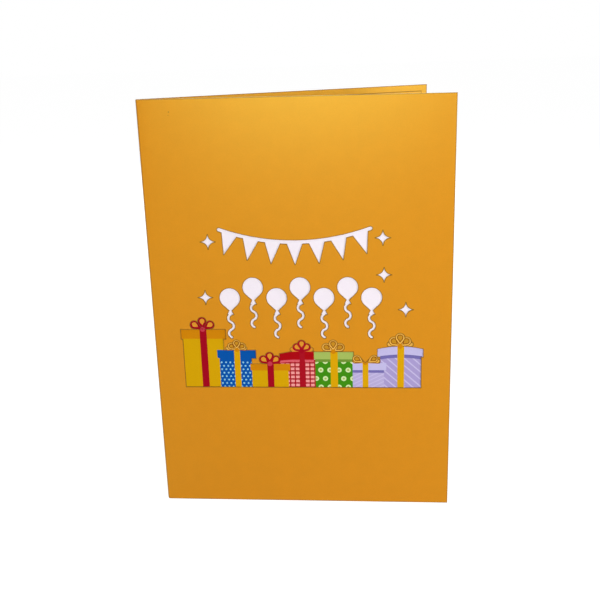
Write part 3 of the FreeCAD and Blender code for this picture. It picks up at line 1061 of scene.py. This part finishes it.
@dataclass(frozen=True)
class Bow:
    """A looped bow of the print, in millimetres.

    Attributes:
        span: its left and right ends.
        base: height of its knot.
        peak: height of its top.
        ribbon: how it is inked.
        loops: how many loops it has. Where it has two, the middle one is left out.
        tails: where its tails end, if it has any.
        loop_share: a loop's radius as a share of the bow's height.
        side_share: height of the side loops' centres over the knot, as a share of it.
        knot_share: the knot's radius as a share of it.
        knot_lift: how far the knot's middle lies above the base.
        knot_sides: how many corners the knot has.
        tail_inset: how far the middle of a tail's round end lies inside its end.
        tail_lift: how far it lies above the base.
        tail_radii: radius of a tail's round end with its edge, and without.
        tip: how far a loop's tip lies from its centre, in radii.
        tip_limit: the furthest that is, as a share of the way to the knot.
    """

    span: Span
    base: float
    peak: float
    ribbon: Ribbon
    loops: int
    tails: tuple[float, ...]
    loop_share: float = 0.32
    side_share: float = 0.4
    knot_share: float = 0.2
    knot_lift: float = 0.1
    knot_sides: int = 12
    tail_inset: float = 0.8
    tail_lift: float = 0.9
    tail_radii: Span = (1.1, 0.8)
    tip: float = 1.75
    tip_limit: float = 1.2

    @property
    def knot(self) -> np.ndarray:
        """Where the bow is tied."""
        return np.array([sum(self.span) / 2, self.base])

    @property
    def rise(self) -> float:
        """The bow's height above its knot."""
        return self.peak - self.base

    @property
    def radius(self) -> float:
        """A loop's radius."""
        return self.rise * self.loop_share

    def fields(self) -> list[Field]:
        """Lay out the bow: a triangle of ground, the tails, the loops' rings and the knot.

        Returns:
            Its fields of ink, the lowest first.
        """
        left, right = self.tails or self.span
        ground = np.array([[left, self.base], [right, self.base], self.knot + (0.0, self.rise)])
        drawn = [Field(ground, self.ribbon.ground)] + self._tails()
        for centre in self._centres():
            drawn += [Field(self._ring(centre, self.radius - share * self.radius - inset), ink)
                      for share, inset, ink in self.ribbon.rings]
        x, z = self.knot + (0.0, self.knot_lift)
        return drawn + [Field(disc(x, z, self.knot_share * self.rise, self.knot_sides), self.ribbon.knot)]

    def _tails(self) -> list[Field]:
        """Lay out the tails: a drop from the knot to each round end, and a smaller one on it.

        Returns:
            Their fields of ink.
        """
        drawn = []
        for end, side in zip(self.tails, SIDES):
            centre = np.array([end - side * self.tail_inset, self.base + self.tail_lift])
            drawn += [Field(drop(self.knot, centre, radius), ink)
                      for radius, ink in zip(self.tail_radii, self.ribbon.tail)]
        return drawn

    def _centres(self) -> list[np.ndarray]:
        """Place the loops: one at each side, as far out as the span allows, and one on top.

        Returns:
            Their centres, the upper one last.
        """
        reach = (self.span[1] - self.span[0]) / 2 - self.radius
        centres = [self.knot + (side * reach, self.rise * self.side_share) for side in SIDES]
        if self.loops > len(SIDES):
            centres.append(self.knot + (0.0, self.rise - self.radius))
        return centres

    def _ring(self, centre: np.ndarray, radius: float) -> np.ndarray:
        """Draw a loop's outline: a drop whose tip points at the knot.

        The tip lies a set number of radii from the centre, and never further than a set share of the way
        to the knot, so that the rings of a loop stay even.

        Args:
            centre: the loop's centre.
            radius: radius of the ring.

        Returns:
            The outline.
        """
        way = self.knot - centre
        share = min(radius * self.tip / np.linalg.norm(way), self.tip_limit)
        return drop(centre + way * share, centre, radius)


@dataclass(frozen=True)
class Gift:
    """A wrapped box of the print, in millimetres from the middle of the row's base line.

    Attributes:
        body: its left and right edges.
        lid: the lid's left and right edges.
        lid_span: the lid's bottom and top.
        bow: the bow's left and right ends, and its top.
        ribbon: the ribbon's left and right edges.
        wrap: ink of the wrapping.
        mark: ink of the pattern on it.
        cap: ink of the lid.
        tie: ink of the ribbon and the bow.
        pattern: what the wrapping is printed with.
        arch: how far the lid's top rises in its middle.
        loops: how many loops the bow has.
        shade: height of a dark band under the lid.
        tails: where the bow's tails end, if it has any.
        lid_drop: how far the lid's left end drops below its level part.
        level_from: where that level part starts.
        under_arch: how much of the arch the lid's bottom has.
        under_lean: how much of the drop it has.
        lid_points: how many points each long side of the lid has.
        lap: how far the wrapping runs up behind the lid, and the knot down over it.
    """

    body: Span
    lid: Span
    lid_span: Span
    bow: tuple[float, float, float]
    ribbon: Span
    wrap: Ink
    mark: Ink
    cap: Ink
    tie: Ink
    pattern: Pattern = Pattern.PLAIN
    arch: float = 0.0
    loops: int = 3
    shade: float = 0.0
    tails: tuple[float, ...] = ()
    lid_drop: float = 0.0
    level_from: float = 0.0
    under_arch: float = 0.8
    under_lean: float = 0.4
    lid_points: int = 15
    lap: float = 0.1

    def fields(self) -> list[Field]:
        """Lay out the gift: wrapping, marks, the band under the lid, lid, ribbon and bow.

        Returns:
            Its fields of ink, the lowest first.
        """
        low, high = self.lid_span
        left, right = self.body
        drawn = [Field(rectangle(left, right, ROW_SPAN[0], low + self.lap), self.wrap)]
        drawn += self.pattern.value.fields((left, right, ROW_SPAN[0], low), self.mark, sum(self.ribbon) / 2)
        if self.shade:
            band = self._lid() - (0.0, self.shade)
            drawn.append(Field(band, SHADES[self.wrap], (left, right, *EVERYWHERE[2:])))
        drawn.append(Field(self._lid(), self.cap))
        drawn.append(Field(rectangle(*self.ribbon, ROW_SPAN[0], high + self.arch), self.tie))
        knot, peak = high + self.arch - self.lap, self.bow[2]
        return drawn + Bow(self.bow[:2], knot, peak, RIBBONS[self.tie], self.loops, self.tails).fields()

    def _lid(self) -> np.ndarray:
        """Draw the lid's outline: straight sides under an arc, with its left end dropped if it leans.

        The arc's height is the arch times (1 - u squared), where u runs from -1 to 1 between the sides.
        The bottom follows most of that arc, as a round lid does when it is seen from below. The lean
        falls evenly from the level part to the left end.

        Returns:
            The outline.
        """
        low, high = self.lid_span
        left, right = self.lid
        u = np.linspace(1.0, -1.0, self.lid_points)
        x = (left + right) / 2 + u * (right - left) / 2
        run = self.level_from - left or 1.0
        lean = self.lid_drop * np.clip((self.level_from - x) / run, 0.0, 1.0)
        arc = self.arch * (1 - u ** 2)
        top = np.stack([x, high + arc - lean], axis=1)
        bottom = np.stack([x, low + self.under_arch * arc - self.under_lean * lean], axis=1)
        return np.vstack([bottom[::-1], top])


# In the order in which they are drawn, so that each covers those before it.
GIFTS = (
    Gift((-50.7, -33.3), (-52.0, -32.2), (22.1, 26.4), (-47.2, -36.8, 31.9), (-43.4, -40.4),
         Ink.SUN, Ink.SUN, Ink.OCHRE, Ink.CRIMSON),
    Gift((-35.4, -21.5), (-36.3, -19.6), (13.3, 17.0), (-31.5, -23.9, 21.6), (-29.0, -26.4),
         Ink.BLUE, Ink.SKY, Ink.BLUE, Ink.GOLD, Pattern.SMALL_DOTS, tails=(-32.3, -23.4)),
    Gift((-9.7, 5.9), (-9.4, 5.3), (12.6, 16.5), (-3.6, 3.9, 21.6), (-0.9, 1.4),
         Ink.WINE, Ink.PINK, Ink.SCARLET, Ink.WINE, Pattern.CHECKS, tails=(-4.7, 5.1),
         lid_drop=1.1, level_from=-3.9, shade=1.0),
    Gift((-21.6, -5.8), (-22.2, -5.1), (7.6, 10.7), (-18.2, -9.2, 16.1), (-14.9, -12.1),
         Ink.SUN, Ink.SUN, Ink.OCHRE, Ink.CRIMSON),
    Gift((5.8, 21.7), (5.3, 22.1), (12.8, 16.3), (8.9, 18.2, 21.6), (12.3, 15.4),
         Ink.GREEN, Ink.LIME, Ink.LEAF, Ink.GOLD, Pattern.LARGE_DOTS, shade=1.2),
    Gift((33.4, 51.0), (32.3, 52.0), (14.1, 17.6), (37.2, 46.3, 24.6), (40.6, 43.5),
         Ink.MAUVE, Ink.MIST, Ink.LILAC, Ink.GOLD, Pattern.FALLING, arch=1.2, shade=1.5, tails=(36.4, 47.2)),
    Gift((21.7, 35.0), (21.7, 36.0), (7.9, 11.2), (21.9, 32.4, 16.1), (25.9, 28.4),
         Ink.ORCHID, Ink.MIST, Ink.LILAC, Ink.GOLD, Pattern.RISING, loops=2, shade=1.2, tails=(21.9, 33.3)),
)


@dataclass
class PrintSheet:
    """The white sheet glued behind the windows, with the gifts printed on it as flat fields of ink.

    Attributes:
        card: the card's driving sizes.
        base: height of the gifts' base line.
        gifts: what is printed.
        paper: finish of the paper, which each ink takes in its own colour.
    """

    card: Card
    base: float = 55.3 * MM
    gifts: tuple[Gift, ...] = GIFTS
    paper: Stock = Stock("ink", Ink.PAPER.value, cloud=0.012, grain=0.02, sheen=0.05)

    def build(self) -> bpy.types.Object:
        """Divide the sheet's face along the fields' outlines and give each part its ink.

        Returns:
            The finished sheet.
        """
        printed = [item for gift in self.gifts for item in gift.fields()]
        corners = self._corners()
        outlines = [corners]
        outlines += [item.outline * MM + self._origin() for item in printed]
        for left, right, low, high in sorted({item.within for item in printed} - {EVERYWHERE}):
            low, high = max(low, ROW_SPAN[0]), min(high, ROW_SPAN[1])
            outlines.append(rectangle(left, right, low, high) * MM + self._origin())
        flat, faces = triangulated(*self._joined(outlines))
        on_sheet = inside(flat[faces].mean(axis=1), corners, np.roll(corners, -1, axis=0))
        flat, faces = trimmed(flat, faces, on_sheet)
        inks = self._inks((flat[faces].mean(axis=1) - self._origin()) / MM, printed)
        return self._folded(flat, faces, inks)

    def _origin(self) -> np.ndarray:
        """Find q and z of the middle of the row's base line, on the flat sheet."""
        fold = self.card.cover()
        return np.array([self.card.width / 2 - fold.outer_radius + fold.bend, self.base])

    def _corners(self) -> np.ndarray:
        """Read the flat sheet's size from its CAD node.

        Returns:
            The sheet's corners.
        """
        flat, _ = self.card.cover().front_flat(welded("print_sheet")[0])
        low, high = flat.min(0), flat.max(0)
        return rectangle(low[0], high[0], low[1], high[1])

    def _joined(self, outlines: list[np.ndarray]) -> Pair:
        """Put outlines together as points and closed rings of edges.

        Args:
            outlines: rows of q and z for each outline.

        Returns:
            All the points, and the edges as pairs of point numbers.
        """
        counts = [len(outline) for outline in outlines]
        firsts = np.cumsum([0] + counts[:-1])
        rings = [np.stack([first + np.arange(count), first + (np.arange(count) + 1) % count], axis=1)
                 for first, count in zip(firsts, counts)]
        return np.vstack(outlines), np.vstack(rings)

    def _inks(self, centres: np.ndarray, printed: list[Field]) -> np.ndarray:
        """Find the uppermost field over each triangle, or the bare paper.

        Args:
            centres: the triangles' centres, in the fields' millimetres.
            printed: the fields, the lowest first.

        Returns:
            The number of each triangle's ink among all the inks.
        """
        order = {ink: number for number, ink in enumerate(Ink)}
        inks = np.zeros(len(centres), int)
        for item in printed:
            left, right, low, high = item.within
            here = inside(centres, item.outline, np.roll(item.outline, -1, axis=0))
            here &= (centres[:, 0] > left) & (centres[:, 0] < right)
            here &= (centres[:, 1] > low) & (centres[:, 1] < high)
            inks[here] = order[item.ink]
        return inks

    def _folded(self, flat: np.ndarray, faces: np.ndarray, inks: np.ndarray) -> bpy.types.Object:
        """Stand the sheet against the cover's inner face and close its back and edges.

        Args:
            flat: rows of q and z.
            faces: the printed face's triangles.
            inks: each triangle's ink.

        Returns:
            The finished sheet.
        """
        fold = self.card.cover()
        radii = (fold.inner_radius, fold.inner_radius - self.card.print_thickness)
        points = np.vstack([fold.place(flat, radius) for radius in radii])
        shells = shell(faces, len(flat))
        piece = new_piece("printed_sheet", points, shells, "print_sheet")
        for ink in Ink:
            stock = replace(self.paper, name="ink_%s" % ink.name.lower(), colour=ink.value)
            piece.data.materials.append(stock.material())
        slots = np.concatenate([inks, np.zeros(len(shells) - len(inks), int)])
        piece.data.polygons.foreach_set("material_index", slots.astype(np.int32))
        piece.data.update()
        return piece


@dataclass
class PopUp:
    """The gift box of slotted card that stands inside. Its cut edges are brown from the laser.

    Attributes:
        stocks: the finish of each of its material slots.
        edge: the finish of the cut edges.
        flat_share: the least share of a piece's surface that faces the way of one of its flat sides.
        steep: the least angle between a cut edge and the flat side that it bounds.
        parallel: least cosine between the normals of faces that look the same way.
        plane_gap: how near each other two faces of one plane lie.
    """

    stocks: tuple[Stock, ...] = (
        Stock("box_card", (178, 22, 38), cloud=0.04, grain=0.05),
        Stock("lid_card", (150, 12, 30), cloud=0.04, grain=0.05),
        Stock("ribbon_card", (226, 172, 30), cloud=0.03, grain=0.04),
    )
    edge: Stock = Stock("browned_edge", (124, 56, 40), cloud=0.1, grain=0.1, sheen=0.2)
    flat_share: float = 0.06
    steep: float = math.radians(60)
    parallel: float = 0.999
    plane_gap: float = 0.005 * MM

    def build(self) -> int:
        """Build a piece for each CAD node of the box, in its CAD shape.

        Returns:
            How many pieces were built.
        """
        finishes = {stock.name: stock.material() for stock in self.stocks}
        edge = self.edge.material()
        entries = [entry for entry in frame["record"]["subparts"] if entry["material_slot"] in finishes]
        for entry in entries:
            node, slot = entry["node"], entry["material_slot"]
            points, faces = welded(node)
            piece = new_piece("cut_" + node, points, faces.tolist(), node)
            piece.data.materials.append(finishes[slot])
            piece.data.materials.append(edge)
            cut = self._cut_edges(points, faces)
            piece.data.polygons.foreach_set("material_index", cut.astype(np.int32))
            smoothed(piece)
            LOG.info("%s: %d faces, %d of them cut edges", piece.name, len(faces), cut.sum())
        return len(entries)

    def _cut_edges(self, points: np.ndarray, faces: np.ndarray) -> np.ndarray:
        """Find the narrow faces where the card's thickness shows.

        A side is flat where the faces that look its way or the opposite way hold more than a set share of
        the area. A cut edge is the rest of a plane in which some face meets a flat side steeply, which the
        round outside of a crease doesn't.

        Args:
            points: rows of x, y and z.
            faces: rows of three point numbers.

        Returns:
            True for each face that is a cut edge.
        """
        corner = points[faces]
        normal = np.cross(corner[:, 1] - corner[:, 0], corner[:, 2] - corner[:, 0])
        area = np.linalg.norm(normal, axis=1)
        normal /= np.maximum(area, TINY)[:, None]
        level = (normal * corner[:, 0]).sum(1)
        alike = np.abs(normal @ normal.T) > self.parallel
        flat = alike @ area > self.flat_share * area.sum()
        edges = np.sort(faces[:, [0, 1, 1, 2, 2, 0]].reshape(-1, 2), axis=1)
        key = np.unique(edges, axis=0, return_inverse=True)[1].ravel()
        order = np.argsort(key, kind="stable")
        shared = key[order[1:]] == key[order[:-1]]
        first, second = order[:-1][shared] // 3, order[1:][shared] // 3
        steep = np.abs((normal[first] * normal[second]).sum(1)) < math.cos(self.steep)
        met = np.concatenate([first[steep & flat[second]], second[steep & flat[first]]])
        seeds = np.setdiff1d(met, np.flatnonzero(flat))
        same_plane = alike[:, seeds] & (np.abs(level[:, None] - level[seeds]) < self.plane_gap)
        return same_plane.any(axis=1) & ~flat


@dataclass(frozen=True)
class Lamp:
    """A square lamp that faces the middle of the card.

    Attributes:
        name: its name.
        place: where it hangs.
        size: its width.
        power: its power in watts.
    """

    name: str
    place: Place
    size: float
    power: float


@dataclass
class Studio:
    """A white floor, soft lamps and the photograph's camera.

    Attributes:
        eye: where the camera stands.
        turn: its rotation in degrees.
        lens: its focal length in millimetres.
        frame_width: width of its square frame in millimetres.
        near: how near the camera sees.
        lamps: the lamps.
        aim: the point that the lamps face.
        floor_size: half the floor's width.
        floor_shade: how much light the floor gives back.
        floor_glow: how bright the floor is beside that.
        daylight: strength of the even light from all round.
    """

    eye: Place = (-0.03503, -0.35792, 0.20544)
    turn: Place = (72.314, 1.621, -6.301)
    lens: float = 52.38
    frame_width: float = 36.0
    near: float = 0.01
    lamps: tuple[Lamp, ...] = (
        Lamp("key", (-0.17, -0.72, 0.25), 0.3, 1.9),
        Lamp("top", (0.06, -0.3, 0.62), 0.4, 0.6),
        Lamp("right", (0.45, -0.66, 0.13), 0.25, 2.3),
        Lamp("back", (0.0, 0.8, 0.5), 0.7, 3.0),
        Lamp("side", (0.8, 0.0, 0.35), 0.6, 3.0),
    )
    aim: Place = (0.0, 0.0, 0.09)
    floor_size: float = 4.0
    floor_shade: float = 0.35
    floor_glow: float = 0.9
    daylight: float = 0.27

    def build(self) -> None:
        """Set up the floor, the world, the lamps and the camera."""
        self._floor()
        self._world()
        for lamp in self.lamps:
            self._hang(lamp)
        self._camera()
        bpy.context.scene.view_settings.view_transform = "Standard"

    def _floor(self) -> None:
        """Lay a large floor that looks white and keeps a faint shadow."""
        mesh = bpy.data.meshes.new("floor")
        corners = rectangle(-self.floor_size, self.floor_size, -self.floor_size, self.floor_size)
        mesh.from_pydata(np.column_stack([corners, np.zeros(4)]).tolist(), [], [(0, 1, 2, 3)])
        floor = bpy.data.objects.new("floor", mesh)
        bpy.context.scene.collection.objects.link(floor)
        made = bpy.data.materials.new("floor_white")
        made.use_nodes = True
        made.node_tree.nodes.clear()
        graph = Graph(made.node_tree)
        glow = graph.add("Math", {0: graph.seen(), 1: self.floor_glow}, operation="MULTIPLY").outputs[0]
        matt = graph.add("BsdfDiffuse", {"Color": (*[self.floor_shade] * 3, 1.0)}).outputs[0]
        shine = graph.add("Emission", {"Color": WHITE, "Strength": glow}).outputs[0]
        both = graph.add("AddShader", {0: matt, 1: shine}).outputs[0]
        graph.add("OutputMaterial", {"Surface": both})
        mesh.materials.append(made)

    def _world(self) -> None:
        """Light the scene evenly, with plain white where something shows past the floor."""
        world = bpy.data.worlds.new("studio")
        bpy.context.scene.world = world
        world.use_nodes = True
        world.node_tree.nodes.clear()
        graph = Graph(world.node_tree)
        soft = graph.add("Background", {"Color": WHITE, "Strength": self.daylight}).outputs[0]
        white = graph.add("Background", {"Color": WHITE, "Strength": 1.0}).outputs[0]
        both = graph.add("MixShader", {"Fac": graph.seen(), 1: soft, 2: white}).outputs[0]
        graph.add("OutputWorld", {"Surface": both})

    def _hang(self, lamp: Lamp) -> None:
        """Hang a lamp and turn it to its aim.

        Args:
            lamp: the lamp.
        """
        data = bpy.data.lights.new(lamp.name, "AREA")
        data.shape = "SQUARE"
        data.size = lamp.size
        data.energy = lamp.power
        hung = bpy.data.objects.new(lamp.name, data)
        hung.location = lamp.place
        way = Vector(self.aim) - Vector(lamp.place)
        hung.rotation_euler = way.to_track_quat("-Z", "Y").to_euler()
        bpy.context.scene.collection.objects.link(hung)

    def _camera(self) -> None:
        """Stand the camera where the photograph was taken from."""
        data = bpy.data.cameras.new("camera")
        data.sensor_width = self.frame_width
        data.lens = self.lens
        data.clip_start = self.near
        camera = bpy.data.objects.new("camera", data)
        camera.location = self.eye
        camera.rotation_euler = [math.radians(angle) for angle in self.turn]
        bpy.context.scene.collection.objects.link(camera)
        bpy.context.scene.camera = camera


def main() -> None:
    """Build the card's pieces in order, then the studio."""
    logging.basicConfig(level=logging.INFO, format="%(message)s")
    card = Card()
    cover = FoldedSheet("folded_cover", "cover_sheet", card.cover(), FRONT_CARD, REVERSE_CARD_PAINTED_LIGHT,
                        windowed=True, knocked=1.3 * MM)
    # The liner takes the same colour, painted lighter as light on the shaded inside.
    outside, inside_face = (replace(REVERSE_CARD_PAINTED_LIGHT, name=name) for name in ("liner_card", "liner_face"))
    liner = FoldedSheet("folded_liner", "liner_sheet", card.liner(), outside, inside_face)
    for sheet in (cover, liner, PrintSheet(card)):
        piece = sheet.build()
        LOG.info("%s: %d faces", piece.name, len(piece.data.polygons))
    LOG.info("pop-up: %d pieces", PopUp().build())
    Studio().build()
    bpy.context.view_layer.update()


if __name__ == "__main__":
    main()
